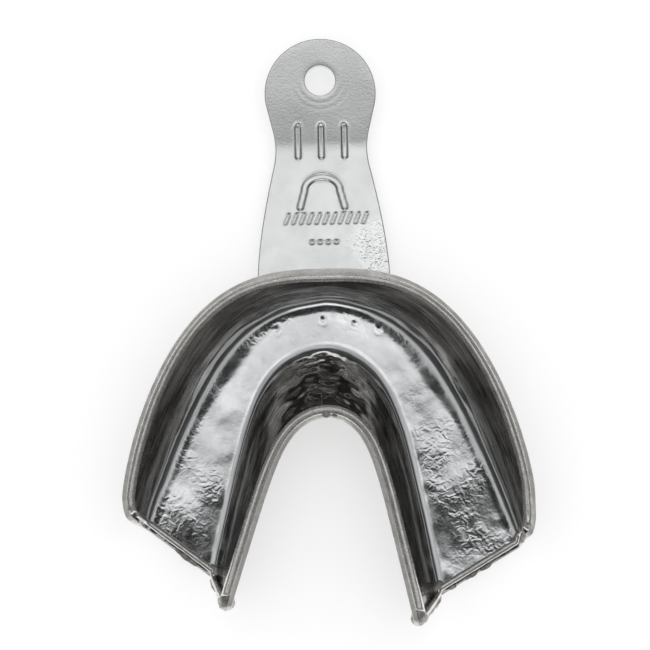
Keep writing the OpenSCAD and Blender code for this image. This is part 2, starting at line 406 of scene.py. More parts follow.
def sheet_detail(points):
    """Height of the trough's surface above a perfect pressing, in millimetres."""
    broad = ripple(points, 12, 1) * 0.13 + ripple(points, 5, 2) * 0.035
    peel = ripple(points, 1.6, 3) * 0.006
    rear = smooth(-26, -38, points[..., 1])
    dents = ripple(points, 2.4, 6) * 0.012 * rear * floor_share()[None, :]
    floor_only = dents + weld_dimples(points) * floor_share()
    return broad + peel + floor_only + hammer_marks(points) + drawing_lines()


def rounded_edge(end, outward, normal):
    """Points round the sheet's cut edge: nearly sharp where the wire sits, softer at the back."""
    turn = np.radians(np.linspace(0, 90, QUARTER))
    ring = []
    r = WIRE_SIDE_ROUND
    inner = SHEET_T / 2 - r
    for a in turn:
        ring.append(end - outward * (r - r * math.sin(a)) + normal * (inner + r * math.cos(a)))
    r = EDGE_ROUND
    inner = SHEET_T / 2 - r
    for a in turn:
        ring.append(end - outward * (r - r * math.cos(a)) - normal * (inner + r * math.sin(a)))
    return np.stack(ring, axis=1)


def shell_rings():
    """Closed cross-sections of the sheet, from the left heel to the right."""
    height = sheet_detail(SHEET)
    rim_fade = np.ones(N_ACROSS)
    rim_fade[:RIM_SKIP + 1] = rim_fade[-RIM_SKIP - 1:] = 0
    top = SHEET + NORMAL * (SHEET_T / 2 + height * rim_fade[None, :])[..., None]
    bottom = SHEET - NORMAL * (SHEET_T / 2 - 0.4 * height * rim_fade[None, :])[..., None]
    out_rim = unit(SHEET[:, 0] - SHEET[:, 1])
    tongue_rim = unit(SHEET[:, -1] - SHEET[:, -2])
    tongue_edge = rounded_edge(SHEET[:, -1], tongue_rim, NORMAL[:, -1])
    outer_edge = rounded_edge(SHEET[:, 0], out_rim, NORMAL[:, 0])[:, ::-1]
    faces = slice(RIM_SKIP, N_ACROSS - RIM_SKIP)
    return np.concatenate([top[:, faces], tongue_edge, bottom[:, faces][:, ::-1], outer_edge], axis=1)


def round_heels(rings):
    """Adds thinner and thinner rings past each heel, so the cut rear edge is rounded."""
    around = rings.shape[1]
    result = [rings]
    for first, second, at_start in ((0, 1, True), (-1, -2, False)):
        ring = rings[first]
        back = unit(ring - rings[second])
        centre = (ring + ring[mirror_index(around)]) / 2
        extra = []
        for a in HEEL_TURNS:
            shrink = 1 - (1 - math.cos(a)) * EDGE_ROUND / (SHEET_T / 2)
            extra.append(centre + (ring - centre) * shrink + back * EDGE_ROUND * math.sin(a))
        extra = np.stack(extra)
        result = [extra[::-1]] + result if at_start else result + [extra]
    return np.concatenate(result)


def mirror_index(around):
    """For each point of a ring, the point facing it through the sheet's thickness."""
    middle_of_edge = TOP_COUNT + EDGE_POINTS / 2 - 0.5
    return (2 * middle_of_edge - np.arange(around)).astype(int) % around


def tray_shell():
    """The pressing, and for each of its vertices how far across the trough it lies.

    Faces on the cut edges get the second material, the ground steel.
    """
    rings = round_heels(shell_rings())
    around = rings.shape[1]
    shift = TOP_COUNT + QUARTER
    rings = np.roll(rings, -shift, axis=1)
    faces = tube_faces(rings.shape[0], around)
    obj = build_mesh("tray_shell_pressing", rings.reshape(-1, 3), faces)
    edge_rows = [(j - shift) % around for j in list(range(TOP_COUNT, TOP_COUNT + EDGE_POINTS))
                 + list(range(2 * TOP_COUNT + EDGE_POINTS, around))]
    sides = (rings.shape[0] - 1) * around
    ground = np.isin(np.arange(len(faces)) % around, edge_rows)
    ground[:len(HEEL_TURNS) * around] = True
    ground[sides - len(HEEL_TURNS) * around:] = True
    obj.data.polygons.foreach_set("material_index", ground.astype(np.int32))
    top = np.arange(RIM_SKIP, N_ACROSS - RIM_SKIP)
    ring_columns = np.concatenate([top, np.full(EDGE_POINTS, N_ACROSS - 1), top[::-1],
                                   np.zeros(EDGE_POINTS)])
    columns = np.tile(np.roll(ring_columns, -shift), rings.shape[0])
    return obj, columns.astype(float)


# ---------------------------------------------------------------- rim and heel wires

def rim_wire(name, edge, below, height, gap, oblique, seed):
    """Half-round wire along a rim, ground flush with the sheet's edge along its top.

    gap is the number of stations left free at each end, and oblique how far the cut at
    each end slants back from the wire's lower side to its top.
    """
    first, last = gap, N_ALONG - gap
    end = SHEET[first:last, edge]
    normal = NORMAL[first:last, edge]
    down = unit(SHEET[first:last, below] - end)
    base = end + normal * (SHEET_T / 2 - WIRE_SEAT) + down * WIRE_W / 2
    wobble = 1 + 0.05 * ripple(base, 3.5, seed)[:, None]
    order = np.arange(len(base))
    from_end = np.minimum(order, order[::-1])
    inward = unit(np.gradient(base, axis=0)) * np.sign(len(base) / 2 - order - 0.5)[:, None]
    slope = inward * np.clip(1 - from_end / CUT_STATIONS, 0, 1)[:, None]
    ring = []
    for a in np.radians(np.linspace(-90, 90, HALF_ROUND_POINTS)):
        fullness = 0.6 if a < 0 else 0.9        # squarer above the middle, where it is ground
        lift = abs(math.cos(a)) ** fullness * height
        drop = math.copysign(abs(math.sin(a)) ** fullness, a) * WIRE_W / 2
        cut = oblique * (1 - drop / (WIRE_W / 2)) / 2
        ring.append(base + down * drop + normal * lift * wobble + slope * cut)
    rings = np.stack(ring, axis=1)
    return build_mesh(name, rings.reshape(-1, 3), tube_faces(len(rings), rings.shape[1]))


def heel_wire(name, end, step, seed):
    """Round wire across a rear end, on the trough side, set in from the cut edge.

    The inset follows the sheet's own lines, because the rear ends are cut at a slant.
    """
    r = HEEL_WIRE_D / 2
    line = SHEET[end]
    across = unit(np.gradient(line, axis=0))
    along = unit(SHEET[end + HEEL_LINE * step] - line)
    inward = unit(along - across * np.sum(along * across, axis=1, keepdims=True))
    on_sheet = line + along * (HEEL_INSET + r) / np.sum(along * inward, axis=1, keepdims=True)
    normal = NORMAL[end + HEEL_WIRE_STATION * step]
    side = unit(inward - normal * np.sum(inward * normal, axis=1, keepdims=True))
    between_rims = slice(HEEL_TRIMS[0], -HEEL_TRIMS[1])
    path = (on_sheet + normal * (SHEET_T / 2 + r))[between_rims]
    normal, side = normal[between_rims], side[between_rims]
    lumps = 1 + 0.10 * ripple(path, 1.3, seed)[:, None]
    ring = []
    for a in np.radians(np.arange(0, 360, ROUND_WIRE_STEP)):
        ring.append(path + (normal * math.cos(a) + side * math.sin(a)) * r * lumps)
    rings = np.stack(ring, axis=1)
    return build_mesh(name, rings.reshape(-1, 3), tube_faces(len(rings), rings.shape[1]))


# ---------------------------------------------------------------- solder

JOINT_STATION = 4               # how many stations in from a rear end its corner joints sit


def solder_lump(middle, stretch, along, size, seed, wide=1.0):
    """Vertices and faces of one rough lump of solder, drawn out along a direction."""
    rows, cols = 18, 28
    along = np.array(along) / np.linalg.norm(along)
    side = unit(np.cross(along, [0.0, 0.0, 1.0]))
    up = np.cross(side, along)
    points = []
    for i in range(rows + 1):
        polar = math.pi * i / rows
        for k in range(cols):
            turn = 2 * math.pi * k / cols
            d = (along * math.cos(polar) * stretch
                 + side * math.sin(polar) * math.cos(turn) * wide
                 + up * math.sin(polar) * math.sin(turn) * 0.8)
            points.append(d * size)
    points = np.array(points)
    rough = 1 + 0.10 * ripple(points + seed * 3.0, 0.45, seed) + 0.12 * ripple(points, 1.2, seed + 3)
    points = np.array(middle) + points * rough[:, None]
    faces = []
    for i in range(rows):
        for k in range(cols):
            a = i * cols + k
            b = i * cols + (k + 1) % cols
            faces.append((a, b, b + cols, a + cols))
    return points, faces


def solder_joints():
    """All the solder in one piece: wire ends, rear edges, rear tips and the tongue wire's joint."""
    lumps = []
    floor_out = FLANGE_N + BEND_N
    floor_in = floor_out + FLOOR_N
    seed = 20
    random = np.random.default_rng(seed)
    for end, step in ((0, 1), (N_ALONG - 1, -1)):
        for j, size, stretch in ((2, 0.55, 1.4), (floor_in + 4, 0.8, 1.6)):
            i = end + JOINT_STATION * step
            middle = SHEET[i, j] + NORMAL[i, j] * (SHEET_T / 2 + size * 0.35)
            lumps.append(solder_lump(middle, stretch, SHEET[i, j + 2] - SHEET[i, j - 2], size, seed))
            seed += 1
        for share in random.uniform(0.42, 0.95, 7):
            j = int(floor_out + FLOOR_N * share)
            size = random.uniform(0.18, 0.55)
            middle = SHEET[end, j] + NORMAL[end, j] * (SHEET_T / 2 - 0.05)
            lumps.append(solder_lump(middle, 2.2, SHEET[end, j + 2] - SHEET[end, j - 2], size, seed))
            seed += 1
    for end, step in ((0, 1), (N_ALONG - 1, -1)):
        near_tip = SHEET[end + JOINT_STATION * step, -1]
        tip = near_tip + NORMAL[end, -1] * 0.9 - np.array([0, 0, 1.9])
        arm = near_tip - SHEET[end, -1]
        lumps.append(solder_lump(tip, 1.5, arm, 1.2, seed, wide=1.25))
        seed += 1
        for j in range(floor_in + BEND_N // 2, N_ACROSS - 6, 5):
            size = random.uniform(0.4, 0.8)
            middle = SHEET[end, j] + NORMAL[end, j] * 0.35
            lumps.append(solder_lump(middle, 2.4, SHEET[end, j + 2] - SHEET[end, j - 2], size, seed))
            seed += 1
    front = N_ALONG // 2
    for i, size in ((front - 3, 0.75), (front + 24, 0.5)):
        middle = SHEET[i, -1] + NORMAL[i, -1] * TONGUE_WIRE_H * 0.55 + np.array([0, 0, -0.35])
        lumps.append(solder_lump(middle, 1.1, SHEET[i + 2, -1] - SHEET[i - 2, -1], size, seed))
        seed += 1
    points, faces = [], []
    for lump, quads in lumps:
        shift = sum(len(p) for p in points)
        points.append(lump)
        faces += [tuple(v + shift for v in quad) for quad in quads]
    return build_mesh("rim_solder", np.concatenate(points), faces, merge=1e-7)


# ---------------------------------------------------------------- handle

EDGE_STEPS = np.array([0, 0.03, 0.08, 0.15, 0.24, 0.36, 0.5])
TOP_ROUND = 0.2
UNDER_ROUND = 0.2
HOLE_ROUND = 0.16
HOLE = np.array([0.0, HOLE_Y])

FLARE_POINTS, SHOULDER_POINTS, ARC_POINTS = 60, 16, 150
CHORD_POINTS = 74               # across the neck, between the finer steps at its edges
RAY_POINTS = 34                 # from the hole to the head's edge, likewise
FOOT_ROWS = np.linspace(FOOT_END + 0.7, -1, 14)
NECK_ROWS = np.linspace(0, WAIST_Y, 150)

# Stamped marks, all plain shapes
STROKES_X = (-4.2, 0.0, 4.2)
STROKE_Y = (22.6, 28.0)
ARCH_HALF_W, ARCH_RISE, ARCH_BOW_Y = 3.2, 2.6, 16.2
ARCH_END = (4.0, 13.2)
DASH_COUNT, DASH_PITCH, DASH_X, DASH_LEAN = 11, 1.4, -6.4, 0.35
DASH_Y = (10.2, 11.9)
DOT_COUNT, DOT_PITCH = 4, 1.45
FIRST_DOT = (-2.0, 6.7)
BIG_MARK_DEPTH, SMALL_MARK_DEPTH = 0.12, 0.10
LIP_H, LIP_W = 0.025, 0.14      # the metal raised round a big mark


def waist_rounding(y):
    """How much the rounding at the waist fills out the corner between flare and shoulder."""
    return WAIST_FILL * np.maximum(1 - np.abs(y - WAIST_Y) / WAIST_ROUND, 0) ** 2


def flare_half_width(y):
    """Half width of the handle from its foot to its waist."""
    t = np.linspace(0, 1, FLARE_POINTS)
    fy = 2 * t * (1 - t) * FLARE_START * WAIST_Y + t ** 2 * WAIST_Y
    turn_x = FOOT_W / 2 - FLARE_TUCK
    fx = (1 - t) ** 2 * FOOT_W / 2 + 2 * t * (1 - t) * turn_x + t ** 2 * WAIST_W / 2
    width = np.interp(y, fy, fx) + waist_rounding(y)
    u = np.clip((y - FOOT_END) / FOOT_CORNER, 0, 1)
    return width - FOOT_CORNER * (1 - np.sqrt(1 - (1 - u) ** 2))


def head_outline(count):
    """Points round the head, from the right end of the waist to its left end."""
    rise = HEAD_Y - WAIST_Y
    reach = math.hypot(WAIST_W / 2, rise)
    turn = math.acos(HEAD_R / reach) - math.atan(rise / (WAIST_W / 2))
    angles = np.linspace(turn, math.pi - turn, count)
    arc = np.stack([HEAD_R * np.cos(angles), HEAD_Y + HEAD_R * np.sin(angles)], -1)
    waist = np.array([WAIST_W / 2, WAIST_Y])
    shoulder = waist + (arc[0] - waist) * open_steps(SHOULDER_POINTS)[:, None]
    shoulder[:, 0] += waist_rounding(shoulder[:, 1])
    left = shoulder[::-1] * np.array([-1, 1])
    return np.concatenate([shoulder, arc, left])


def spaced(length, count):
    """Distances across a strip: close together at both edges, even in the middle."""
    middle = np.linspace(EDGE_STEPS[-1], length - EDGE_STEPS[-1], count + 2)[1:-1]
    return np.concatenate([EDGE_STEPS, middle, length - EDGE_STEPS[::-1]])


def bar(x, y0, y1):
    """A stroke along the handle."""
    return np.array([[x, y0], [x, y1]])


def arch_sign():
    """A plain horseshoe, standing for the arch the tray fits."""
    turn = np.radians(np.linspace(0, 180, 24))
    bow = np.stack([ARCH_HALF_W * np.cos(turn), ARCH_BOW_Y + ARCH_RISE * np.sin(turn)], -1)
    x, y = ARCH_END
    return np.concatenate([[[x, y]], bow, [[-x, y]]])


def raised_lip(beyond):
    """Height of the lip at a distance beyond its crest."""
    return LIP_H * np.exp(-(beyond / LIP_W) ** 2)


def stamp_depth(plan):
    """Depth of the stamped marks: three strokes, an arch sign, slanted dashes and dots."""
    depth = np.zeros(plan.shape[:-1])
    for x in STROKES_X:
        d = segment_distance(plan, bar(x, *STROKE_Y))
        depth += BIG_MARK_DEPTH * (1 - smooth(0.36, 0.62, d)) - raised_lip(d - 0.8)
    d = segment_distance(plan, arch_sign())
    depth += BIG_MARK_DEPTH * (1 - smooth(0.38, 0.65, d)) - raised_lip(d - 0.82)
    for k in range(DASH_COUNT):
        x = DASH_X + k * DASH_PITCH
        dash = np.array([[x - DASH_LEAN, DASH_Y[0]], [x + DASH_LEAN, DASH_Y[1]]])
        depth += SMALL_MARK_DEPTH * (1 - smooth(0.10, 0.34, segment_distance(plan, dash)))
    for k in range(DOT_COUNT):
        dot = np.array([FIRST_DOT[0] + k * DOT_PITCH, FIRST_DOT[1]])
        depth += SMALL_MARK_DEPTH * (1 - smooth(0.28, 0.54, np.linalg.norm(plan - dot, axis=-1)))
    return depth


def dish(plan):
    """The faint rings that the punch left below the hole."""
    r = np.linalg.norm(plan - HOLE, axis=-1)
    below = smooth(0.3, -0.6, (plan[..., 1] - HOLE_Y) / np.maximum(r, 0.1))
    rings = np.exp(-((r - 4.1) / 0.28) ** 2) + 0.6 * np.exp(-((r - 5.2) / 0.35) ** 2)
    return 0.008 * rings * below + 0.012 * np.exp(-((r - HOLE_R) / 0.5) ** 2)


def electrode_marks(plan):
    """Round pits under the foot where the spot welder pressed."""
    pit_depth, flat_r, pit_r = 0.14, 1.0, 1.5
    height = np.zeros(plan.shape[:-1])
    for x, y in WELD_SPOTS:
        r = np.hypot(plan[..., 0] - x, plan[..., 1] - y)
        height += pit_depth * (1 - smooth(flat_r, pit_r, r))
    return height


def bevel(distance, radius):
    """How far a surface drops below its plane near a rounded edge."""
    d = np.clip(distance, 0, radius)
    return radius - np.sqrt(np.maximum(radius ** 2 - (radius - d) ** 2, 0))


def bend_up(plan, height):
    """Places plate points: flat to the waist, round a short bend, then up the sloping head."""
    start = WAIST_Y - BEND_LENGTH / 2
    run_y = np.clip(plan[..., 1] - start, 0, BEND_LENGTH)
    angle = HEAD_BEND * run_y / BEND_LENGTH
    radius = BEND_LENGTH / HEAD_BEND
    beyond = np.maximum(plan[..., 1] - start - BEND_LENGTH, 0)
    y = np.minimum(plan[..., 1], start) + radius * np.sin(angle) + beyond * math.cos(HEAD_BEND)
    z = radius * (1 - np.cos(angle)) + beyond * math.sin(HEAD_BEND)
    return np.stack([plan[..., 0], y - height * np.sin(angle), z + height * np.cos(angle)], -1)


def handle():
    """The plate: a grid over foot and neck and a ring grid round the hole, on both faces."""
    chord = spaced(WAIST_W, CHORD_POINTS) - WAIST_W / 2
    rows = np.concatenate([FOOT_END + EDGE_STEPS, FOOT_ROWS, NECK_ROWS])
    half_width = flare_half_width(rows)
    edge, edge_w = len(EDGE_STEPS), EDGE_STEPS[-1]
    neck = []
    for y, hw in zip(rows, half_width):
        middle = chord[edge:-edge] * (hw - edge_w) / (WAIST_W / 2 - edge_w)
        x = np.concatenate([-hw + EDGE_STEPS, middle, hw - EDGE_STEPS[::-1]])
        neck.append(np.stack([x, np.full_like(x, y)], -1))
    neck = np.array(neck)
    loop = np.concatenate([neck[-1], head_outline(ARC_POINTS)[1:-1]])
    reach = np.linalg.norm(loop - HOLE, axis=1)
    direction = (loop - HOLE) / reach[:, None]
    shares = np.stack([spaced(length - HOLE_R, RAY_POINTS) for length in reach])
    head = HOLE + direction[:, None, :] * (HOLE_R + shares)[..., None]
    head[:, -1] = loop

    right = np.stack([half_width, rows], -1)
    left = right[::-1] * np.array([-1, 1])
    outline = np.concatenate([right, head_outline(ARC_POINTS)[1:-1], left, right[:1]])

    def surface(plan, top):
        d_out = segment_distance(plan, outline)
        d_hole = np.linalg.norm(plan - HOLE, axis=-1) - HOLE_R
        if top:
            lumps = 0.012 * ripple(np.concatenate([plan, plan[..., :1] * 0], -1), 6, 9)
            height = (PLATE_T - bevel(d_out, TOP_ROUND) - bevel(d_hole, HOLE_ROUND)
                      - stamp_depth(plan) - dish(plan) + lumps * smooth(0.2, 1.2, d_out))
        else:
            height = bevel(d_out, UNDER_ROUND) + bevel(d_hole, HOLE_ROUND) + electrode_marks(plan)
        return bend_up(plan, height)

    points, faces = [], []

    def add_grid(grid, flip, wrap=False):
        n, m = grid.shape[:2]
        base = sum(len(p) for p in points)
        points.append(grid.reshape(-1, 3))
        for i in range(n if wrap else n - 1):
            for j in range(m - 1):
                a, b = base + i * m + j, base + ((i + 1) % n) * m + j
                quad = (a, a + 1, b + 1, b)
                faces.append(quad[::-1] if flip else quad)

    sheets = {}
    for top in (True, False):
        neck_grid, head_grid = surface(neck, top), surface(head, top)
        add_grid(neck_grid, not top)
        add_grid(head_grid, top, wrap=True)
        columns = len(chord)
        rim = np.concatenate([neck_grid[::-1, 0], neck_grid[0, 1:-1], neck_grid[:, -1],
                              head_grid[columns:, -1]])
        sheets[top] = (rim, head_grid[:, 0])
    for k in (0, 1):
        upper, lower = sheets[True][k], sheets[False][k]
        wall = np.stack([upper + (lower - upper) * t for t in (0, 0.25, 0.5, 0.75, 1)], axis=1)
        add_grid(wall, k == 1, wrap=True)
    return build_mesh("handle_plate", np.concatenate(points), faces, merge=2e-7)


# ---------------------------------------------------------------- materials

MIX_A, MIX_B, MIX_RESULT = 6, 7, 2      # a Mix node's colour sockets


def new_material(name):
    """A metal with procedural nodes, and the parts of its node tree."""
    mat = bpy.data.materials.new(name)
    mat.use_nodes = True
    nodes = mat.node_tree.nodes
    shader = nodes["Principled BSDF"]
    shader.inputs["Metallic"].default_value = 1.0
    return mat, nodes, mat.node_tree.links, shader


def add_noise(nodes, links, scale, detail=3.0, rough=0.55, distortion=0.0, vector=None):
    """A noise texture, in object space unless told otherwise. scale is in lumps per unit."""
    tex = nodes.new("ShaderNodeTexNoise")
    tex.inputs["Scale"].default_value = scale
    tex.inputs["Detail"].default_value = detail
    tex.inputs["Roughness"].default_value = rough
    tex.inputs["Distortion"].default_value = distortion
    if vector is None:
        vector = nodes.new("ShaderNodeTexCoord").outputs["Object"]
    links.new(vector, tex.inputs["Vector"])
    return tex.outputs["Fac"]


def painted(nodes, name, output="Fac"):
    """The attribute that was painted on the mesh under this name."""
    node = nodes.new("ShaderNodeAttribute")
    node.attribute_name = name
    return node.outputs[output]


def add_ramp(nodes, links, fac, stops):
    """A soft colour ramp from (position, grey or colour) stops."""
    ramp = nodes.new("ShaderNodeValToRGB")
    ramp.color_ramp.interpolation = "EASE"
    elements = ramp.color_ramp.elements
    while len(elements) > 1:
        elements.remove(elements[-1])
    for k, (position, value) in enumerate(stops):
        element = elements[0] if k == 0 else elements.new(position)
        element.position = position
        colour = value if isinstance(value, tuple) else (value, value, value)
        element.color = (*colour, 1.0)
    links.new(fac, ramp.inputs["Fac"])
    return ramp.outputs["Color"]


def add_math(nodes, links, operation, a, b):
    """A maths node on two sockets or numbers."""
    node = nodes.new("ShaderNodeMath")
    node.operation = operation
    for socket, value in ((node.inputs[0], a), (node.inputs[1], b)):
        if isinstance(value, (int, float)):
            socket.default_value = value
        else:
            links.new(value, socket)
    return node.outputs[0]


def add_bump(nodes, links, height, distance):
    """Normals for a relief of this depth, in metres, where height is 1."""
    node = nodes.new("ShaderNodeBump")
    node.inputs["Strength"].default_value = 1.0
    node.inputs["Distance"].default_value = distance
    links.new(height, node.inputs["Height"])
    return node.outputs["Normal"]


def polished_steel():
    """Mirror-polished floor with orange peel; duller flanges streaked along the arch, their base colour
    darkened as painted shade.
    """
    mat, nodes, links, shader = new_material("polished_steel")
    wall = painted(nodes, "wall")
    stain = add_noise(nodes, links, 140, detail=4)
    floor_tone = add_ramp(nodes, links, stain, [(0.3, (0.66, 0.67, 0.68)), (0.7, (0.74, 0.75, 0.76))])
    streaks = add_noise(nodes, links, 1.0, detail=4, rough=0.6, vector=painted(nodes, "flow", "Vector"))
    # Painted shade: the flanges get a much darker base colour than the floor, streaked along the arch.
    streaked_wall_shade = add_ramp(nodes, links, streaks, [(0.35, (0.22, 0.21, 0.20)), (0.65, (0.50, 0.49, 0.47))])
    colour = nodes.new("ShaderNodeMix")
    colour.data_type = "RGBA"
    links.new(wall, colour.inputs["Factor"])
    links.new(floor_tone, colour.inputs[MIX_A])
    links.new(streaked_wall_shade, colour.inputs[MIX_B])
    links.new(colour.outputs[MIX_RESULT], shader.inputs["Base Color"])

    haze = add_noise(nodes, links, 420, detail=5, rough=0.7)
    haze = add_ramp(nodes, links, haze, [(0.3, 0.08), (0.75, 0.17)])
    dull = add_ramp(nodes, links, streaks, [(0.35, 0.0), (0.65, 0.06)])
    dull = add_math(nodes, links, "MULTIPLY", dull, wall)
    rough = add_math(nodes, links, "ADD", haze, dull)
    gloss = add_math(nodes, links, "MULTIPLY", painted(nodes, "gloss"), -0.6)
    gloss = add_math(nodes, links, "ADD", gloss, 1.0)
    links.new(add_math(nodes, links, "MULTIPLY", rough, gloss), shader.inputs["Roughness"])

    worms = add_noise(nodes, links, 850, detail=1.2, rough=0.4, distortion=1.1)
    pits = add_math(nodes, links, "MULTIPLY", worms, painted(nodes, "peel"))
    grain = add_math(nodes, links, "MULTIPLY", add_noise(nodes, links, 1900, detail=2), 0.05)
    scratches = add_math(nodes, links, "MULTIPLY", streaks, wall)
    scratches = add_math(nodes, links, "MULTIPLY", scratches, 0.25)
    height = add_math(nodes, links, "ADD", pits, grain)
    height = add_math(nodes, links, "ADD", height, scratches)
    links.new(add_bump(nodes, links, height, 0.00005), shader.inputs["Normal"])
    return mat


def satin_steel():
    """Bright satin plate with a fine grain and a patch of orange peel."""
    mat, nodes, links, shader = new_material("satin_steel")
    tone = add_noise(nodes, links, 90, detail=3)
    links.new(add_ramp(nodes, links, tone, [(0.3, (0.79, 0.80, 0.805)), (0.7, (0.83, 0.84, 0.845))]),
              shader.inputs["Base Color"])
    peel = painted(nodes, "peel")
    cloud = add_noise(nodes, links, 260, detail=4)
    rough = add_ramp(nodes, links, cloud, [(0.3, 0.19), (0.7, 0.23)])
    shine = add_math(nodes, links, "MULTIPLY", peel, -0.10)
    links.new(add_math(nodes, links, "ADD", rough, shine), shader.inputs["Roughness"])
    pebble = add_noise(nodes, links, 1300, detail=2)
    pebble = add_math(nodes, links, "MULTIPLY", pebble, peel)
    grain = add_noise(nodes, links, 2600, detail=2)
    grain = add_math(nodes, links, "MULTIPLY", grain, 0.10)
    height = add_math(nodes, links, "ADD", pebble, grain)
    links.new(add_bump(nodes, links, height, 0.00006), shader.inputs["Normal"])
    return mat


def ground_steel(name, metallic, roughness):
    """Wire and rim steel, ground rather than polished: duller, with fine mottling."""
    mat, nodes, links, shader = new_material(name)
    shader.inputs["Metallic"].default_value = metallic
    tone = add_noise(nodes, links, 500, detail=5, rough=0.65)
    links.new(add_ramp(nodes, links, tone, [(0.3, (0.70, 0.68, 0.65)), (0.7, (0.90, 0.885, 0.86))]),
              shader.inputs["Base Color"])
    mottle = add_noise(nodes, links, 900, detail=3)
    spread = [(0.3, roughness * 0.8), (0.7, roughness * 1.2)]
    links.new(add_ramp(nodes, links, mottle, spread), shader.inputs["Roughness"])
    fine = add_noise(nodes, links, 2200, detail=3)
    links.new(add_bump(nodes, links, fine, 0.00002), shader.inputs["Normal"])
    return mat


def solder_metal():
    """Dull grey solder with a lumpy, slightly pitted skin."""
    mat, nodes, links, shader = new_material("solder_metal")
    tone = add_noise(nodes, links, 800, detail=4)
    links.new(add_ramp(nodes, links, tone, [(0.3, (0.40, 0.39, 0.375)), (0.7, (0.66, 0.65, 0.63))]),
              shader.inputs["Base Color"])
    links.new(add_ramp(nodes, links, tone, [(0.3, 0.6), (0.7, 0.42)]), shader.inputs["Roughness"])
    pits = add_noise(nodes, links, 1800, detail=3)
    links.new(add_bump(nodes, links, pits, 0.00008), shader.inputs["Normal"])
    return mat


def paint_attribute(obj, name, values):
    """Stores one number per vertex for the materials to read."""
    attribute = obj.data.attributes.new(name, "FLOAT", "POINT")
    attribute.data.foreach_set("value", values.astype(np.float32))


def vertex_mm(obj):
    """Every vertex of a mesh, in millimetres."""
    co = np.empty(len(obj.data.vertices) * 3)
    obj.data.vertices.foreach_get("co", co)
    return co.reshape(-1, 3) / MM


def paint_shell(obj, columns):
    """Paints where the shell has orange peel, where it is wall and darkened as painted shade, and which
    way its grain runs.

    columns gives each point's place across the trough, counted as in the section lines.
    """
    p = vertex_mm(obj)
    across = (columns - FLANGE_N - BEND_N) / FLOOR_N
    rear = smooth(-27, -40, p[:, 1])
    right = smooth(8, 18, p[:, 0]) * smooth(-14, -28, p[:, 1]) * 0.5
    edge = np.exp(-((across - 0.1) / 0.12) ** 2) * 0.5
    front = smooth(-14, -9, p[:, 1]) * 0.3
    patches = 0.15 + 0.65 * smooth(-0.25, 0.25, ripple(p, 6, 12))
    clear = 1 - smooth(0.78, 0.92, across)
    peel = np.clip(rear * 0.9 + right + edge + front, 0, 1) * patches * clear
    on_floor = smooth(-0.1, 0.0, across) * (1 - smooth(1.0, 1.1, across))
    paint_attribute(obj, "peel", peel * on_floor + 0.03)

    # Painted shade: the wall value darkens the base colour of both flanges and also dulls and scratches
    # them, most on the tongue side; the hammered front eases it.
    wall = np.maximum(1 - smooth(-0.52, -0.30, across), smooth(1.08, 1.35, across) * 1.2)
    hammered = np.exp(-(p[:, 0] / 7.0) ** 2) * smooth(1.0, 1.1, across) * smooth(-32, -26, p[:, 1])
    paint_attribute(obj, "wall", wall * (1 - 0.25 * hammered))
    paint_attribute(obj, "gloss", hammered)
    along = np.arctan2(p[:, 0], p[:, 1] + 45) * 30
    flow = np.stack([along * 0.15, columns * 0.9, wall], -1)
    attribute = obj.data.attributes.new("flow", "FLOAT_VECTOR", "POINT")
    attribute.data.foreach_set("vector", flow.astype(np.float32).ravel())


def peel_on_handle(obj):
    """Paints a ragged patch of orange peel on the right of the handle, next to the tray."""
    p = vertex_mm(obj)
    ragged = 1.6 * ripple(p, 2.5, 14) + 0.8 * ripple(p, 0.9, 15)
    across = smooth(4.0, 7.5, p[:, 0] + ragged)
    along = smooth(-1.0, 3.0, p[:, 1] + ragged) * (1 - smooth(8, 13, p[:, 1] + ragged))
    paint_attribute(obj, "peel", across * along + 0.04)


# ---------------------------------------------------------------- stage

# The studio as the metal sees it: brightness by angle, in degrees from straight up.
SKY_BANDS = (
    (0, 0.80), (24, 0.70), (32, 0.10), (50, 0.05), (55, 0.50), (61, 0.50), (66, 0.05), (95, 0.03),
    (115, 0.60), (180, 0.80),
)
# Patches of the sky, in degrees: centre along Y, half width along X, half width along Y
CAMERA_SHADE = (-4.7, 12.0, 12.0)
OVER_HANDLE = (11.0, 12.0, 8.0)
OVER_TIPS = (-26.0, 16.0, 8.0)
BEYOND_HANDLE = (52.0, 30.0, 9.0)
WINDOWS = ((OVER_HANDLE, 0.65), (OVER_TIPS, 0.85), (BEYOND_HANDLE, 1.1))    # each with its glare
UNEVENNESS = 22.0               # how many degrees the edges of the bands wander


def sky_patch(nodes, links, direction, patch, stops):
    """Grey values by distance from the middle of an oval patch of sky: 1.0 is its edge."""
    centre, half_x, half_y = patch
    x, y, z = direction
    angles = []
    for side, middle, half_width in ((x, 0.0, half_x), (y, centre, half_y)):
        angle = add_math(nodes, links, "ARCTAN2", side, z)
        angle = add_math(nodes, links, "SUBTRACT", angle, math.radians(middle))
        angle = add_math(nodes, links, "DIVIDE", angle, math.radians(half_width))
        angles.append(add_math(nodes, links, "POWER", angle, 2))
    reach = add_math(nodes, links, "ADD", *angles)
    reach = add_math(nodes, links, "SQRT", reach, 0.0)
    return add_ramp(nodes, links, add_math(nodes, links, "MULTIPLY", reach, 0.5),
                    [(position / 2, value) for position, value in stops])


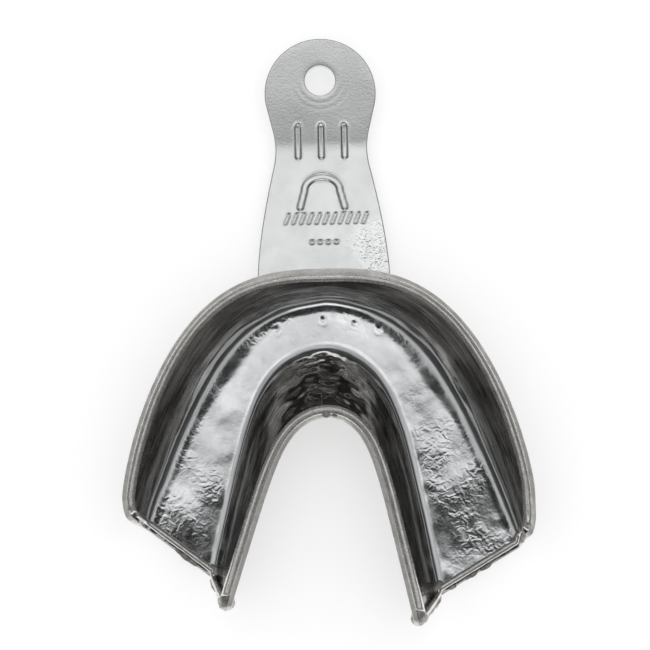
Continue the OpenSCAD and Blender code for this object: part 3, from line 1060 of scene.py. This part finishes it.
def studio_world():
    """An even white dome for the floor; for the metal, soft panels with dark gaps between them."""
    world = bpy.data.worlds.new("studio")
    bpy.context.scene.world = world
    world.use_nodes = True
    nodes, links = world.node_tree.nodes, world.node_tree.links
    coords = nodes.new("ShaderNodeTexCoord")
    split = nodes.new("ShaderNodeSeparateXYZ")
    links.new(coords.outputs["Generated"], split.inputs["Vector"])
    direction = split.outputs
    coarse = add_noise(nodes, links, 3.0, detail=3, vector=coords.outputs["Generated"])
    fine = add_noise(nodes, links, 9.0, detail=2, vector=coords.outputs["Generated"])

    shift = add_math(nodes, links, "MULTIPLY", add_math(nodes, links, "SUBTRACT", coarse, 0.5), UNEVENNESS)
    polar = add_math(nodes, links, "ARCCOSINE", direction["Z"], 0.0)
    polar = add_math(nodes, links, "MULTIPLY", polar, 180 / math.pi)
    polar = add_math(nodes, links, "DIVIDE", add_math(nodes, links, "ADD", polar, shift), 180.0)
    light = add_ramp(nodes, links, polar, [(angle / 180, value) for angle, value in SKY_BANDS])
    for window, glare in WINDOWS:
        glow = sky_patch(nodes, links, direction, window, [(0.6, glare), (1.0, 0.0)])
        light = add_math(nodes, links, "ADD", light, glow)
    cloud = add_ramp(nodes, links, fine, [(0.3, 0.52), (0.7, 1.0)])
    light = add_math(nodes, links, "MULTIPLY", light, cloud)
    shade = sky_patch(nodes, links, direction, CAMERA_SHADE, [(0.84, 0.04), (0.97, 1.0)])
    light = add_math(nodes, links, "MULTIPLY", light, shade)

    path = nodes.new("ShaderNodeLightPath")
    seen = nodes.new("ShaderNodeMix")
    seen.data_type = "RGBA"
    seen.inputs[MIX_A].default_value = (1.0, 1.0, 1.0, 1.0)
    links.new(path.outputs["Is Glossy Ray"], seen.inputs["Factor"])
    links.new(light, seen.inputs[MIX_B])
    links.new(seen.outputs[MIX_RESULT], nodes["Background"].inputs["Color"])


# The floor and the fill light, in metres and watts
STAGE_SIZE, STAGE_GAP = 3.0, 0.0002
STAGE_GREY, STAGE_GLOW = 0.5, 0.52
FILL_SIZE, FILL_HEIGHT, FILL_POWER = 1.6, 1.2, 0.9


def stage_floor():
    """A plain pale floor just below the tray, glowing a little so that it photographs white."""
    bpy.ops.mesh.primitive_plane_add(size=STAGE_SIZE, location=(0, 0, cad_box[0].z - STAGE_GAP))
    floor = bpy.context.object
    floor.name = "stage_floor"
    mat = bpy.data.materials.new("stage_white")
    mat.use_nodes = True
    shader = mat.node_tree.nodes["Principled BSDF"]
    shader.inputs["Base Color"].default_value = (STAGE_GREY, STAGE_GREY, STAGE_GREY, 1)
    shader.inputs["Roughness"].default_value = 0.9
    shader.inputs["Specular IOR Level"].default_value = 0.1
    shader.inputs["Emission Color"].default_value = (1, 1, 1, 1)
    shader.inputs["Emission Strength"].default_value = STAGE_GLOW
    floor.data.materials.append(mat)


def fill_light():
    """Lights the pale floor evenly without showing in the mirror-like metal."""
    data = bpy.data.lights.new("fill", "AREA")
    data.shape = "DISK"
    data.size = FILL_SIZE
    data.energy = FILL_POWER
    light = bpy.data.objects.new("fill", data)
    light.location = (0, 0, FILL_HEIGHT)
    light.visible_glossy = False
    bpy.context.scene.collection.objects.link(light)


# Millimetres, apart from the angles
CAMERA_DISTANCE = 365.0
CAMERA_TILT = math.radians(9.6)
CAMERA_ROLL = math.radians(-1.2)
CAMERA_TARGET = np.array([0.0, -9.1, 6.0])
CAMERA_LENS = 114.9
SENSOR_WIDTH = 36.0


def camera():
    """Almost straight above the trough, leaning back a little, with the handle at the top."""
    c, s = math.cos(CAMERA_TILT), math.sin(CAMERA_TILT)
    right = np.array([1.0, 0, 0])
    up = np.array([0, c, s])
    back = np.array([0, -s, c])
    cr, sr = math.cos(CAMERA_ROLL), math.sin(CAMERA_ROLL)
    right, up = right * cr + up * sr, up * cr - right * sr
    position = (CAMERA_TARGET + back * CAMERA_DISTANCE) * MM
    data = bpy.data.cameras.new("camera")
    data.lens = CAMERA_LENS
    data.sensor_width = SENSOR_WIDTH
    data.clip_start = 0.01
    cam = bpy.data.objects.new("camera", data)
    rotation = Matrix((right, up, back)).transposed().to_4x4()
    cam.matrix_world = Matrix.Translation(position) @ rotation
    bpy.context.scene.collection.objects.link(cam)
    bpy.context.scene.camera = cam


# ---------------------------------------------------------------- assembly

POLISHED = polished_steel()
SATIN = satin_steel()
GROUND = ground_steel("ground_steel", metallic=0.82, roughness=0.42)
RIM_WIRE = ground_steel("rim_wire_steel", metallic=0.95, roughness=0.28)
EDGE_WIRE = ground_steel("edge_wire_steel", metallic=1.0, roughness=0.22)
SOLDER = solder_metal()


def stand_in(obj, node, material):
    """Puts a piece in the place of a CAD node, with its material."""
    obj.data.materials.append(material)
    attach(obj, "root")
    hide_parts(node)


shell, shell_columns = tray_shell()
paint_shell(shell, shell_columns)
stand_in(shell, "tray_shell", POLISHED)
shell.data.materials.append(GROUND)

plate = handle()
peel_on_handle(plate)
stand_in(plate, "handle", SATIN)

outer_wire = rim_wire("outer_rim_wire", 0, 1, OUTER_WIRE_H, gap=1, oblique=0.0, seed=7)
stand_in(outer_wire, "buccal_rim_wire", RIM_WIRE)
tongue_wire = rim_wire("tongue_rim_wire", -1, -2, TONGUE_WIRE_H, gap=3, oblique=1.5, seed=8)
stand_in(tongue_wire, "lingual_rim_wire", RIM_WIRE)
left_wire = heel_wire("heel_edge_wire_left", end=0, step=1, seed=10)
stand_in(left_wire, "heel_wire_left", EDGE_WIRE)
right_wire = heel_wire("heel_edge_wire_right", end=N_ALONG - 1, step=-1, seed=11)
stand_in(right_wire, "heel_wire_right", EDGE_WIRE)
stand_in(solder_joints(), "rim_solder_joints", SOLDER)

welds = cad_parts["handle_spot_welds"]
welds.data.materials.clear()
welds.data.materials.append(SOLDER)

studio_world()
stage_floor()
fill_light()
camera()
bpy.context.scene.view_settings.view_transform = "Standard"
